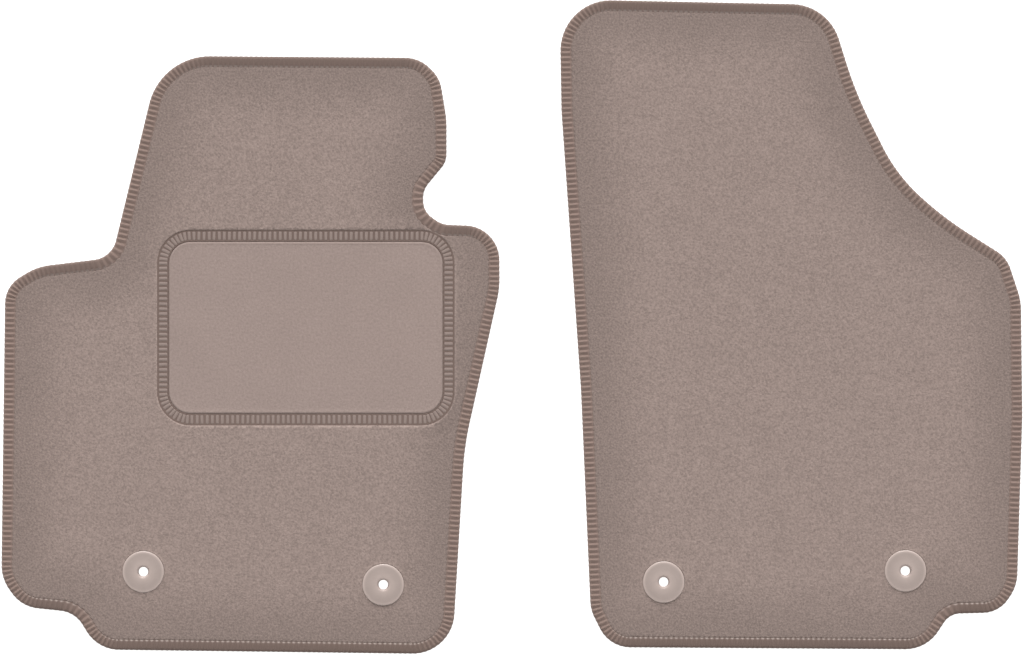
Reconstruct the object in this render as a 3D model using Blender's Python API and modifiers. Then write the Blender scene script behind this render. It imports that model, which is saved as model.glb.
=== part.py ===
"""A pair of fitted car floor mats: driver's and front passenger's.

Each mat is three bonded layers (tufted pile, base cloth, non-slip backing) whose edge is pressed thin
and wrapped in an overlocked yarn binding. The driver's mat has a bound heel pad let into its pile.
Two round push-through clips in each mat take the studs on the car's floor.

Metres, +Z up. The origin is on the floor under the middle of the pair, and +Y is towards the pedals.
"""
import math

import bmesh
import bpy
from mathutils import Vector

SET_NAME = "floor_mat_set"
GAP = 0.0003            # left between pieces that touch
CHORD_ERROR = 0.0005    # furthest an arc's chord may stray from the arc

# Where the mats and the pieces on them lie. A mat's own origin is near its middle.
DRIVER_AT = (-0.2824, -0.0301)
PASSENGER_AT = (0.3013, 0.0018)
DRIVER_CLIPS = {"left": (-0.116, -0.234), "right": (0.143, -0.248)}
PASSENGER_CLIPS = {"left": (-0.138, -0.277), "right": (0.123, -0.265)}
HEEL_PAD_AT = (0.0595, 0.0295)
HEEL_POCKET_SIZE = (0.3210, 0.2110)
HEEL_POCKET_RADIUS = 0.036

# Outlines: (x, y, corner radius), clockwise from the top left, in the mat's own frame.
DRIVER_OUTLINE = [
    (-0.0970, 0.3228, 0.067),
    (0.1820, 0.3206, 0.044),
    (0.2037, 0.2988, 0.035),
    (0.2110, 0.2550, 0.108),
    (0.2110, 0.2090, 0.022),
    (0.1855, 0.1780, 0.024),
    (0.1862, 0.1550, 0.022),
    (0.2060, 0.1405, 0.028),
    (0.2470, 0.1390, 0.036),
    (0.2680, 0.1175, 0.036),
    (0.2683, 0.0720, 0.097),
    (0.2305, -0.0980, 0.324),
    (0.2170, -0.3228, 0.045),
    (-0.1650, -0.3178, 0.041),
    (-0.1900, -0.2775, 0.032),
    (-0.2475, -0.2715, 0.039),
    (-0.2692, -0.2410, 0.045),
    (-0.2650, 0.0740, 0.033),
    (-0.2310, 0.0950, 0.065),
    (-0.1500, 0.1048, 0.028),
]
PASSENGER_OUTLINE = [
    (-0.2500, 0.3520, 0.054),
    (0.0395, 0.3460, 0.054),
    (0.0695, 0.2505, 0.432),
    (0.1135, 0.1628, 0.432),
    (0.1630, 0.1170, 0.432),
    (0.2325, 0.0730, 0.035),
    (0.2477, 0.0270, 0.065),
    (0.2492, -0.0970, 0.324),
    (0.2435, -0.2812, 0.046),
    (0.2242, -0.3097, 0.046),
    (0.1710, -0.3110, 0.022),
    (0.1455, -0.3495, 0.042),
    (-0.1963, -0.3472, 0.041),
    (-0.2165, -0.3070, 0.043),
    (-0.2270, -0.0680, 0.648),
    (-0.2480, 0.2320, 0.108),
]

# Layers, from the floor up
BACKING_TOP = 0.0020
CLOTH_LOW = BACKING_TOP + GAP
CLOTH_TOP = CLOTH_LOW + 0.0010
PILE_LOW = CLOTH_TOP + GAP
PILE_PRESSED_TOP = PILE_LOW + 0.0010    # where the pile is pressed flat under yarn, pad or clip
PILE_TOP = 0.0076
ON_PRESSED_PILE = PILE_PRESSED_TOP + GAP

# Overlocked binding round each mat, and the needle thread along its inner side
BINDING_WIDTH = 0.0084
BINDING_WALL = 0.0010
BINDING_TOP = 0.0064
THREAD_WIDTH = 0.0026
LAYER_INSET = BINDING_WALL + GAP
THREAD_INSET = BINDING_WIDTH + GAP
FIELD_INSET = THREAD_INSET + THREAD_WIDTH + GAP

# Heel pad with its own smaller binding
PAD_TOP = 0.0075
PAD_GROOVE = 0.0022             # open groove between the pile and the pad's binding
PAD_BINDING_WIDTH = 0.0086
PAD_BINDING_WALL = 0.0006
PAD_BINDING_TOP = 0.0072
PAD_RIM_LOW = ON_PRESSED_PILE + PAD_BINDING_WALL + GAP
PAD_RIM_TOP = PAD_BINDING_TOP - PAD_BINDING_WALL - GAP

# Clips: a headed sleeve pushed down through the mat, and a ring that its lip snaps behind
CLIP_STEPS = 24
CLIP_HEAD_RADIUS = 0.0220
CLIP_SLEEVE_RADIUS = 0.0085
CLIP_LIP_RADIUS = 0.0096
CLIP_BORE_RADIUS = 0.0058
CLIP_BEAD_RADIUS = 0.0053       # the bead inside the bore that grips the stud
CLIP_TOP = 0.0091
RING_RADIUS = 0.0175
RING_LEDGE_RADIUS = CLIP_SLEEVE_RADIUS + 0.00035
RING_RECESS_RADIUS = 0.0100
RING_LEDGE_LOW = 0.0012
SLEEVE_HOLE_RADIUS = CLIP_SLEEVE_RADIUS + 0.0006
RING_HOLE_RADIUS = RING_RADIUS + 0.0007
HEAD_HOLE_RADIUS = CLIP_HEAD_RADIUS + 0.0007

CUT_OVERRUN = 0.0040            # how far a cutter runs past the surface that it opens


def clear_scene():
    """Empty the file, so that the script can be run again."""
    for thing in list(bpy.data.objects):
        bpy.data.objects.remove(thing, do_unlink=True)


def new_collection(name):
    collection = bpy.data.collections.new(name)
    bpy.context.scene.collection.children.link(collection)
    return collection


def new_material(name, colour, roughness, metallic=0.0):
    material = bpy.data.materials.new(name)
    material.use_nodes = True
    shader = material.node_tree.nodes["Principled BSDF"]
    shader.inputs["Base Color"].default_value = (*colour, 1.0)
    shader.inputs["Roughness"].default_value = roughness
    shader.inputs["Metallic"].default_value = metallic
    return material


def outline(corners, inset=0.0):
    """The closed outline with its corners rounded, moved inwards by inset, as a list of 2D points."""
    points = []
    for index, (x, y, radius) in enumerate(corners):
        corner = Vector((x, y))
        to_before = Vector(corners[index - 1][:2]) - corner
        to_after = Vector(corners[(index + 1) % len(corners)][:2]) - corner
        half_angle = to_before.angle(to_after) / 2
        room = min(to_before.length, to_after.length) / 2
        radius = min(radius, room * math.tan(half_angle))
        inwards = (to_before.normalized() + to_after.normalized()).normalized()
        centre = corner + inwards * (radius / math.sin(half_angle))
        side = 1 if to_before.cross(to_after) > 0 else -1
        turn = math.pi - 2 * half_angle
        step = 2 * math.acos(1 - CHORD_ERROR / radius)
        steps = max(1, math.ceil(turn / step))
        middle = math.atan2(-inwards.y, -inwards.x)
        for number in range(steps + 1):
            angle = middle + side * turn * (0.5 - number / steps)
            reach = radius - side * inset
            points.append(centre + Vector((math.cos(angle), math.sin(angle))) * reach)
    return points


def circle(centre, radius, steps=CLIP_STEPS):
    """A many-sided hole's corners, all on the circle."""
    turns = [2 * math.pi * number / steps for number in range(steps)]
    return [Vector((centre[0] + radius * math.cos(turn), centre[1] + radius * math.sin(turn))) for turn in turns]


def rectangle(centre, size, radius):
    """The corners of a rounded rectangle, as outline takes them."""
    half_x = size[0] / 2
    half_y = size[1] / 2
    signs = [(-1, 1), (1, 1), (1, -1), (-1, -1)]
    return [(centre[0] + sx * half_x, centre[1] + sy * half_y, radius) for sx, sy in signs]


def curve_of(name, loops, dimensions):
    """A curve object of closed straight-edged loops."""
    curve = bpy.data.curves.new(name, "CURVE")
    curve.dimensions = dimensions
    for loop in loops:
        spline = curve.splines.new("POLY")
        spline.points.add(len(loop) - 1)
        for point, place in zip(spline.points, loop):
            point.co = (place[0], place[1], 0.0, 1.0)
        spline.use_cyclic_u = True
    shape = bpy.data.objects.new(name, curve)
    bpy.context.scene.collection.objects.link(shape)
    return shape


def mesh_from_curve(shape, collection, material=None, rise=0.0):
    """The curve made a closed mesh and lifted by rise; the curve is removed."""
    bpy.context.view_layer.update()
    evaluated = shape.evaluated_get(bpy.context.evaluated_depsgraph_get())
    mesh = bpy.data.meshes.new_from_object(evaluated)
    name = shape.name
    curve = shape.data
    bpy.data.objects.remove(shape, do_unlink=True)
    bpy.data.curves.remove(curve)
    body = bmesh.new()
    body.from_mesh(mesh)
    bmesh.ops.remove_doubles(body, verts=body.verts, dist=1e-6)
    bmesh.ops.recalc_face_normals(body, faces=body.faces)
    bmesh.ops.translate(body, verts=body.verts, vec=(0.0, 0.0, rise))
    body.to_mesh(mesh)
    body.free()
    mesh.materials.clear()
    if material:
        mesh.materials.append(material)
    piece = bpy.data.objects.new(name, mesh)
    collection.objects.link(piece)
    return piece


def plate(name, loops, low, high, collection, material=None):
    """A flat plate between two heights. The first loop is its edge, and the others are holes in it."""
    shape = curve_of(name, loops, "2D")
    shape.data.fill_mode = "BOTH"
    shape.data.extrude = (high - low) / 2
    return mesh_from_curve(shape, collection, material, (low + high) / 2)


def swept(name, path, profile, collection, material):
    """A closed section, given as (distance inwards, height), carried round a clockwise path."""
    section = curve_of(name + "_section", [[(inwards, height) for inwards, height in profile]], "2D")
    section.data.fill_mode = "NONE"
    shape = curve_of(name, [path], "3D")
    shape.data.twist_mode = "Z_UP"
    shape.data.bevel_mode = "OBJECT"
    shape.data.bevel_object = section
    piece = mesh_from_curve(shape, collection, material)
    section_curve = section.data
    bpy.data.objects.remove(section, do_unlink=True)
    bpy.data.curves.remove(section_curve)
    return piece


def turned(name, profile, collection, material):
    """A ring turned about its own Z axis. The profile goes round clockwise: out, down, in and up."""
    body = bmesh.new()
    corners = [body.verts.new((radius, 0.0, height)) for radius, height in profile]
    for first, second in zip(corners, corners[1:] + corners[:1]):
        body.edges.new((first, second))
    mesh = bpy.data.meshes.new(name)
    body.to_mesh(mesh)
    body.free()
    mesh.materials.append(material)
    piece = bpy.data.objects.new(name, mesh)
    collection.objects.link(piece)
    screw = piece.modifiers.new("turn", "SCREW")
    screw.steps = CLIP_STEPS
    screw.render_steps = CLIP_STEPS
    screw.use_merge_vertices = True
    screw.merge_threshold = 1e-5
    screw.use_smooth_shade = True
    return piece


def cut(piece, cutter):
    """Take the cutter out of the piece."""
    cutter.hide_render = True
    cutter.display_type = "WIRE"
    modifier = piece.modifiers.new(cutter.name, "BOOLEAN")
    modifier.operation = "DIFFERENCE"
    modifier.solver = "EXACT"
    modifier.object = cutter


def place(pieces, parent):
    for piece in pieces:
        piece.parent = parent


def binding_profile():
    """Yarn wrapped over the edge: a rounded U, open inwards, from the floor to BINDING_TOP."""
    return [
        (BINDING_WIDTH, ON_PRESSED_PILE),
        (BINDING_WIDTH, BINDING_TOP),
        (0.0028, BINDING_TOP),
        (0.0007, BINDING_TOP - 0.0012),
        (0.0, BINDING_TOP - 0.0031),
        (0.0, 0.0016),
        (0.0018, 0.0),
        (BINDING_WIDTH, 0.0),
        (BINDING_WIDTH, BINDING_WALL),
        (BINDING_WALL, BINDING_WALL),
        (BINDING_WALL, ON_PRESSED_PILE),
    ]


def pad_binding_profile():
    """The same wrap at the heel pad's size, standing on the pressed pile."""
    low = ON_PRESSED_PILE
    return [
        (PAD_BINDING_WIDTH, PAD_BINDING_TOP - PAD_BINDING_WALL),
        (PAD_BINDING_WIDTH, PAD_BINDING_TOP),
        (0.0012, PAD_BINDING_TOP),
        (0.0, PAD_BINDING_TOP - 0.0009),
        (0.0, low),
        (PAD_BINDING_WIDTH, low),
        (PAD_BINDING_WIDTH, low + PAD_BINDING_WALL),
        (PAD_BINDING_WALL, low + PAD_BINDING_WALL),
        (PAD_BINDING_WALL, PAD_BINDING_TOP - PAD_BINDING_WALL),
    ]


def layers(side, corners, clip_places, collections, materials):
    """The three bonded layers of one mat, with its punched clip holes."""
    parts, cutters = collections
    edge = outline(corners, LAYER_INSET)
    sleeve_holes = [circle(centre, SLEEVE_HOLE_RADIUS) for centre in clip_places.values()]
    ring_holes = [circle(centre, RING_HOLE_RADIUS) for centre in clip_places.values()]

    backing = plate(side + "_nonslip_backing", [edge, *ring_holes], 0.0, BACKING_TOP, parts, materials["backing"])
    below_edge = plate(
        side + "_edge_rebate",
        [outline(corners, -CUT_OVERRUN), outline(corners, THREAD_INSET)],
        -CUT_OVERRUN, BINDING_WALL + GAP, cutters)
    cut(backing, below_edge)

    cloth = plate(side + "_base_cloth", [edge, *sleeve_holes], CLOTH_LOW, CLOTH_TOP, parts, materials["cloth"])

    pile = plate(side + "_carpet_pile", [edge, *sleeve_holes], PILE_LOW, PILE_TOP, parts, materials["pile"])
    pressed_edge = plate(
        side + "_pressed_edge",
        [outline(corners, -CUT_OVERRUN), outline(corners, FIELD_INSET)],
        PILE_PRESSED_TOP, PILE_TOP + CUT_OVERRUN, cutters)
    cut(pile, pressed_edge)
    for where, centre in clip_places.items():
        seat = plate(
            f"{side}_{where}_clip_seat", [circle(centre, HEAD_HOLE_RADIUS)],
            PILE_PRESSED_TOP, PILE_TOP + CUT_OVERRUN, cutters)
        cut(pile, seat)
    return backing, cloth, pile


def edge_finish(side, corners, parts, materials):
    """The overlocked binding and the needle thread that sews it down."""
    binding = swept(side + "_edge_binding", outline(corners), binding_profile(), parts, materials["binding"])
    thread_loops = [outline(corners, THREAD_INSET), outline(corners, THREAD_INSET + THREAD_WIDTH)]
    thread = plate(
        side + "_edge_thread", thread_loops, ON_PRESSED_PILE, BINDING_TOP - 0.0006, parts, materials["thread"])
    return binding, thread


def heel_pad(pile, collections, materials):
    """The smooth wear pad under the driver's heel: bound at its edge and let into the pile."""
    parts, cutters = collections
    pocket = rectangle(HEEL_PAD_AT, HEEL_POCKET_SIZE, HEEL_POCKET_RADIUS)
    pocket_cut = plate(
        "heel_pad_pocket", [outline(pocket)], PILE_PRESSED_TOP, PILE_TOP + CUT_OVERRUN, cutters)
    cut(pile, pocket_cut)

    thread_inset = PAD_GROOVE + PAD_BINDING_WIDTH + GAP
    field_inset = thread_inset + THREAD_WIDTH + GAP
    rim = outline(pocket, PAD_GROOVE + PAD_BINDING_WALL + GAP)
    pad = plate("heel_pad", [rim], ON_PRESSED_PILE, PAD_TOP, parts, materials["pad"])
    top_rebate = plate(
        "heel_pad_top_rebate", [outline(pocket, -CUT_OVERRUN), outline(pocket, field_inset)],
        PAD_RIM_TOP, PAD_TOP + CUT_OVERRUN, cutters)
    low_rebate = plate(
        "heel_pad_low_rebate", [outline(pocket, -CUT_OVERRUN), outline(pocket, thread_inset)],
        ON_PRESSED_PILE - CUT_OVERRUN, PAD_RIM_LOW, cutters)
    cut(pad, top_rebate)
    cut(pad, low_rebate)

    binding = swept(
        "heel_pad_binding", outline(pocket, PAD_GROOVE), pad_binding_profile(), parts, materials["binding"])
    thread = plate(
        "heel_pad_thread",
        [outline(pocket, thread_inset), outline(pocket, thread_inset + THREAD_WIDTH)],
        PAD_RIM_TOP + GAP, PAD_BINDING_TOP, parts, materials["thread"])
    return pad, binding, thread


def clip_cap_profile():
    """Low domed head on a sleeve, with a lip at the sleeve's foot and a gripping bead in its bore."""
    lip_low = 0.0002
    lip_high = RING_LEDGE_LOW - GAP
    return [
        (CLIP_BORE_RADIUS + 0.0010, CLIP_TOP - 0.0003),
        (CLIP_BORE_RADIUS + 0.0022, CLIP_TOP),
        (CLIP_HEAD_RADIUS - 0.0026, CLIP_TOP - 0.0006),
        (CLIP_HEAD_RADIUS - 0.0008, CLIP_TOP - 0.0013),
        (CLIP_HEAD_RADIUS, CLIP_TOP - 0.0024),
        (CLIP_HEAD_RADIUS - 0.0004, ON_PRESSED_PILE + 0.0006),
        (CLIP_HEAD_RADIUS - 0.0012, ON_PRESSED_PILE),
        (CLIP_SLEEVE_RADIUS, ON_PRESSED_PILE),
        (CLIP_SLEEVE_RADIUS, lip_high),
        (CLIP_LIP_RADIUS, lip_high),
        (CLIP_SLEEVE_RADIUS + 0.0002, lip_low),
        (CLIP_BORE_RADIUS, lip_low),
        (CLIP_BORE_RADIUS, 0.0026),
        (CLIP_BEAD_RADIUS, 0.0032),
        (CLIP_BEAD_RADIUS, 0.0038),
        (CLIP_BORE_RADIUS, 0.0044),
        (CLIP_BORE_RADIUS, CLIP_TOP - 0.0013),
    ]


def clip_ring_profile():
    """Flat ring under the mat, with a ledge that the sleeve's lip catches behind."""
    return [
        (RING_LEDGE_RADIUS, BACKING_TOP),
        (RING_RADIUS, BACKING_TOP),
        (RING_RADIUS, 0.0006),
        (RING_RADIUS - 0.0006, 0.0),
        (RING_RECESS_RADIUS, 0.0),
        (RING_RECESS_RADIUS, RING_LEDGE_LOW),
        (RING_LEDGE_RADIUS, RING_LEDGE_LOW),
    ]


def clips(side, clip_places, parts, materials):
    """The cap and ring of each clip, with their origins on the clip's own axis."""
    pieces = []
    for where, (x, y) in clip_places.items():
        cap = turned(f"{side}_{where}_clip_cap", clip_cap_profile(), parts, materials["clip"])
        ring = turned(f"{side}_{where}_clip_ring", clip_ring_profile(), parts, materials["ring"])
        cap.location = (x, y, 0.0)
        ring.location = (x, y, 0.0)
        pieces += [cap, ring]
    return pieces


def frame_empty(name, centre, collection):
    empty = bpy.data.objects.new(name, None)
    empty.location = (centre[0], centre[1], 0.0)
    collection.objects.link(empty)
    return empty


def build():
    clear_scene()
    parts = new_collection(SET_NAME)
    cutters = new_collection("cutters")
    materials = {
        "pile": new_material("carpet_pile", (0.33, 0.26, 0.23), 0.95),
        "cloth": new_material("base_cloth", (0.42, 0.37, 0.31), 0.90),
        "backing": new_material("nonslip_backing", (0.06, 0.055, 0.05), 0.85),
        "binding": new_material("binding_yarn", (0.20, 0.15, 0.13), 0.80),
        "thread": new_material("needle_thread", (0.16, 0.12, 0.10), 0.70),
        "pad": new_material("heel_pad_velour", (0.37, 0.29, 0.26), 0.90),
        "clip": new_material("clip_plastic", (0.45, 0.36, 0.33), 0.45),
        "ring": new_material("ring_plastic", (0.30, 0.24, 0.22), 0.50),
    }
    collections = (parts, cutters)

    driver = frame_empty("driver_mat_frame", DRIVER_AT, parts)
    driver_layers = layers("driver", DRIVER_OUTLINE, DRIVER_CLIPS, collections, materials)
    pile = driver_layers[2]
    place(driver_layers, driver)
    place(edge_finish("driver", DRIVER_OUTLINE, parts, materials), driver)
    place(heel_pad(pile, collections, materials), driver)
    place(clips("driver", DRIVER_CLIPS, parts, materials), driver)

    passenger = frame_empty("passenger_mat_frame", PASSENGER_AT, parts)
    place(layers("passenger", PASSENGER_OUTLINE, PASSENGER_CLIPS, collections, materials), passenger)
    place(edge_finish("passenger", PASSENGER_OUTLINE, parts, materials), passenger)
    place(clips("passenger", PASSENGER_CLIPS, parts, materials), passenger)

    for cutter in cutters.objects:
        cutter.parent = driver if cutter.name.startswith(("driver", "heel")) else passenger


build()
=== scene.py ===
"""The finished look of a pair of fitted car floor mats, dressed round their fixed CAD frame.

Every piece is made in metres at its real place: velour carpet as a tufted sheet with its edge pressed
down, overlocked yarn round each edge, a bound heel pad, moulded stud clips and a nubbed rubber backing.
"""
import math

import bmesh
import bpy
import numpy as np
from mathutils import Matrix, Vector, kdtree, noise


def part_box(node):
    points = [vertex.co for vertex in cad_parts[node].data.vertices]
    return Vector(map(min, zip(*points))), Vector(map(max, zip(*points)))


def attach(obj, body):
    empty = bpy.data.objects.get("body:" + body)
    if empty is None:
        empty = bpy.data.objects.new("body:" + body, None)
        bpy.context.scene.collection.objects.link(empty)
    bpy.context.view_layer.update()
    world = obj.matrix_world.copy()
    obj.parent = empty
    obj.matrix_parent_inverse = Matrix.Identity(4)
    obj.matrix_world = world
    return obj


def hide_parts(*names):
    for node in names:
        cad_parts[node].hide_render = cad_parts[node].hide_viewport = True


# Outlines of the mats: (x, y, corner radius), clockwise from the pedal end's left corner, in the mat's
# own frame
DRIVER_OUTLINE = [
    (-0.0970, 0.3228, 0.067), (0.1820, 0.3206, 0.044), (0.2037, 0.2988, 0.035), (0.2110, 0.2550, 0.108),
    (0.2110, 0.2090, 0.022), (0.1855, 0.1780, 0.024), (0.1862, 0.1550, 0.022), (0.2060, 0.1405, 0.028),
    (0.2470, 0.1390, 0.036), (0.2680, 0.1175, 0.036), (0.2683, 0.0720, 0.097), (0.2305, -0.0980, 0.324),
    (0.2170, -0.3228, 0.045), (-0.1650, -0.3178, 0.041), (-0.1900, -0.2775, 0.032),
    (-0.2475, -0.2715, 0.039), (-0.2692, -0.2410, 0.045), (-0.2650, 0.0740, 0.033),
    (-0.2310, 0.0950, 0.065), (-0.1500, 0.1048, 0.028),
]
PASSENGER_OUTLINE = [
    (-0.2500, 0.3520, 0.054), (0.0395, 0.3460, 0.054), (0.0695, 0.2505, 0.432), (0.1135, 0.1628, 0.432),
    (0.1630, 0.1170, 0.432), (0.2325, 0.0730, 0.035), (0.2477, 0.0270, 0.065), (0.2492, -0.0970, 0.324),
    (0.2435, -0.2812, 0.046), (0.2242, -0.3097, 0.046), (0.1710, -0.3110, 0.022),
    (0.1455, -0.3495, 0.042), (-0.1963, -0.3472, 0.041), (-0.2165, -0.3070, 0.043),
    (-0.2270, -0.0680, 0.648), (-0.2480, 0.2320, 0.108),
]
HEEL_POCKET_RADIUS = 0.036
HEEL_GROOVE = 0.0022            # from the pocket's wall to the pad's binding
ARC_STEP = 0.0005               # longest step round a rounded corner
ROUGH_SPACING = 0.0010          # fine enough to find an outline's box

# Heights of the layers
BACKING_TOP = 0.0020
BACKING_RIM_LOW = 0.0013        # the backing's underside where the yarn wraps under it
PILE_LOW = 0.0036
PRESSED_TOP = 0.0046
PILE_TOP = 0.0075

# Distances in from a mat's edge, or from the heel pocket's wall
LAYER_INSET = 0.0013
BINDING_INSET = 0.0084
THREAD_INSET = 0.0118
FIELD_INSET = 0.0119

# Overlocked yarn
STITCH_PITCH = 0.00548
STATIONS = 10                   # points along the edge for each stitch
WRAP_LEAN = 0.2                 # how far each wrap's crest leans over the next one
WRAP_ROUNDNESS = 0.6
YARN_END = 0.0104               # where each wrap turns over at its inner end
YARN_END_REACH = (0.0003, 0.0010)
STRAND_SIDES = 8
LAY_WOBBLE = 0.015              # turn of a hand-laid yarn cell, in radians

# Carpet, heel pad and backing sheets
PILE_SPACING = 0.0019           # between the vertices of the carpet
PAD_SPACING = 0.0017
BACKING_SPACING = 0.0024
PILE_SEEDS = {"driver": 11, "passenger": 14}
PAD_SEED = 23
CELL_SEED = 31
PILE_TUFT = 0.00004             # how unevenly the tufts stand
PILE_WAVE = 0.0002              # slow waves in the sheet
PAD_TUFT = 0.00002
PAD_WAVE = 0.0001
WAVES_PER_METRE = 14.0
TUFT_SHIFT = 0.25               # of the spacing
NUB_DEPTH = 0.0006
FALL_START = 0.010              # towards its edge the carpet is pulled down, and painted shade darkens its colour
FALL_END = 0.085
EDGE_FALL = 0.0009
# painted shade: the colour level at the very edge of the carpet
PAINTED_EDGE_SHADE = 0.82
LIP_CREST = (-0.0003, 0.00785)  # the raised lip round the heel pad: distance in from its wall, height
LIP_FOOT = (0.00005, 0.0073)
LIP_PAINTED_HIGHLIGHT = 1.1             # painted highlight on the raised lip: its colour is made lighter
POCKET_HOLD = (0.003, 0.015)    # close to the heel pad the carpet keeps its full height
OUTLINE_SKIP = 4                # every fourth point of an outline tells inside from outside well enough
HOLE_SKIP = 2

# Clips, as radii about each clip's own axis
SEAT_RADIUS = 0.0245            # where the carpet starts to rise round a clip
PUNCHED_RADIUS = 0.0182         # the hole in the backing
CIRCLE_SPACING = 0.0006
TURNED_STEPS = 96
BORE_TINT_REACH = (0.0065, 0.0165)    # the lighter colour round the bore dies away over these radii
RIM_PAINTED_LIGHT = (0.0200, 0.0212)     # and painted light, lifting the rim out of its shade, comes in over these radii
RIM_PAINTED_LIGHT_SHARE = 1.5
SHARP_EDGE = math.radians(40)

# painted highlight: the lighter colour painted on each wrap's inner end along a mat's pedal and seat ends
YARN_TIP_HIGHLIGHT_COLOUR = (0.42, 0.35, 0.32, 1.0)

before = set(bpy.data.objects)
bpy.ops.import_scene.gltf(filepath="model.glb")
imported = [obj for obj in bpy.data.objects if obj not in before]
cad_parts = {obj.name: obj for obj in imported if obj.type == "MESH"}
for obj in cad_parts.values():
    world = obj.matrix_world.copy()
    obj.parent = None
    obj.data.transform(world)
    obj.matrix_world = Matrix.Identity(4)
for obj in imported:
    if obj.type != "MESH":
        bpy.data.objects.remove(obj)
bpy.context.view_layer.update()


# ---------------------------------------------------------------- outlines

def rounded_line(corners, spacing, centre=(0.0, 0.0), multiple=1):
    """Evenly spaced points round a rounded outline, and the direction inwards at each, as two arrays."""
    points = []
    inwards = []
    for index, (x, y, radius) in enumerate(corners):
        corner = Vector((x, y))
        to_before = Vector(corners[index - 1][:2]) - corner
        to_after = Vector(corners[(index + 1) % len(corners)][:2]) - corner
        half_angle = to_before.angle(to_after) / 2
        room = min(to_before.length, to_after.length) / 2
        radius = min(radius, room * math.tan(half_angle))
        bisector = (to_before.normalized() + to_after.normalized()).normalized()
        middle = corner + bisector * (radius / math.sin(half_angle))
        side = 1 if to_before.cross(to_after) > 0 else -1
        turn = math.pi - 2 * half_angle
        steps = max(2, math.ceil(turn * radius / ARC_STEP))
        start = math.atan2(-bisector.y, -bisector.x)
        for number in range(steps + 1):
            angle = start + side * turn * (0.5 - number / steps)
            outwards = Vector((math.cos(angle), math.sin(angle)))
            points.append(middle + outwards * radius)
            inwards.append(outwards * -side)
    points = np.array([tuple(point) for point in points + points[:1]])
    inwards = np.array([tuple(way) for way in inwards + inwards[:1]])
    lengths = np.concatenate([[0.0], np.cumsum(np.linalg.norm(np.diff(points, axis=0), axis=1))])
    count = round(lengths[-1] / spacing / multiple) * multiple
    places = np.arange(count) * lengths[-1] / count
    points = np.stack([np.interp(places, lengths, points[:, axis]) for axis in (0, 1)], axis=1)
    inwards = np.stack([np.interp(places, lengths, inwards[:, axis]) for axis in (0, 1)], axis=1)
    inwards /= np.linalg.norm(inwards, axis=1)[:, None]
    return points + np.array(centre), inwards


def moved_in(line, inset):
    """The same line moved inwards."""
    points, inwards = line
    return points + inwards * inset, inwards


def circle_line(centre, radius, spacing):
    """A circle as rounded_line gives one: clockwise points and the directions inwards."""
    count = round(2 * math.pi * radius / spacing)
    turns = -2 * math.pi * np.arange(count) / count
    outwards = np.stack([np.cos(turns), np.sin(turns)], axis=1)
    return np.array(centre) + outwards * radius, -outwards


def inside(points, loop):
    """Which of the points lie inside the closed loop."""
    x = points[:, 0]
    y = points[:, 1]
    found = np.zeros(len(points), bool)
    for (ax, ay), (bx, by) in zip(loop, np.roll(loop, -1, axis=0)):
        if ay != by:
            crosses = (ay > y) != (by > y)
            found ^= crosses & (x < (bx - ax) * (y - ay) / (by - ay) + ax)
    return found


def tree_of(points):
    tree = kdtree.KDTree(len(points))
    for index, point in enumerate(points):
        tree.insert((point[0], point[1], 0.0), index)
    tree.balance()
    return tree


def smooth_share(value, start, end):
    """0 at start, 1 at end, with level ends."""
    share = min(1.0, max(0.0, (value - start) / (end - start)))
    return share * share * (3.0 - 2.0 * share)


def middle_of(node):
    """The middle of a CAD node's box, seen from above."""
    low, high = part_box(node)
    return (low[0] + high[0]) / 2, (low[1] + high[1]) / 2


# ---------------------------------------------------------------- mesh pieces

def finish_piece(name, body, material, body_name, replaced):
    """Make the bmesh a named piece that rides on a CAD body."""
    mesh = bpy.data.meshes.new(name)
    body.to_mesh(mesh)
    body.free()
    for face in mesh.polygons:
        face.use_smooth = True
    mesh.materials.append(material)
    piece = bpy.data.objects.new(name, mesh)
    bpy.context.scene.collection.objects.link(piece)
    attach(piece, body_name)
    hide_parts(*replaced)
    return piece


def extruded_ring(body, edges):
    """Extrude a ring of edges: its new edges, vertices and faces."""
    made = bmesh.ops.extrude_edge_only(body, edges=edges)["geom"]
    verts = [item for item in made if isinstance(item, bmesh.types.BMVert)]
    faces = [item for item in made if isinstance(item, bmesh.types.BMFace)]
    fresh = set(verts)
    edges = [
        item for item in made
        if isinstance(item, bmesh.types.BMEdge) and item.verts[0] in fresh and item.verts[1] in fresh
    ]
    return edges, verts, faces


def shingle(line, station):
    """Height of the wrapped yarn at a station: one lifted wrap to each stitch, lying over the next.

    The wrap's short steep side looks towards the pedal end on both long sides of a mat.
    """
    inward = line[1][station]
    lean = 0.5 + WRAP_LEAN * inward[0]
    phase = (station % STATIONS) / STATIONS
    rise = phase / lean if phase < lean else (1.0 - phase) / (1.0 - lean)
    return (1.0 - WRAP_ROUNDNESS) * rise + WRAP_ROUNDNESS * smooth_share(rise, 0.0, 1.0)


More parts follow.
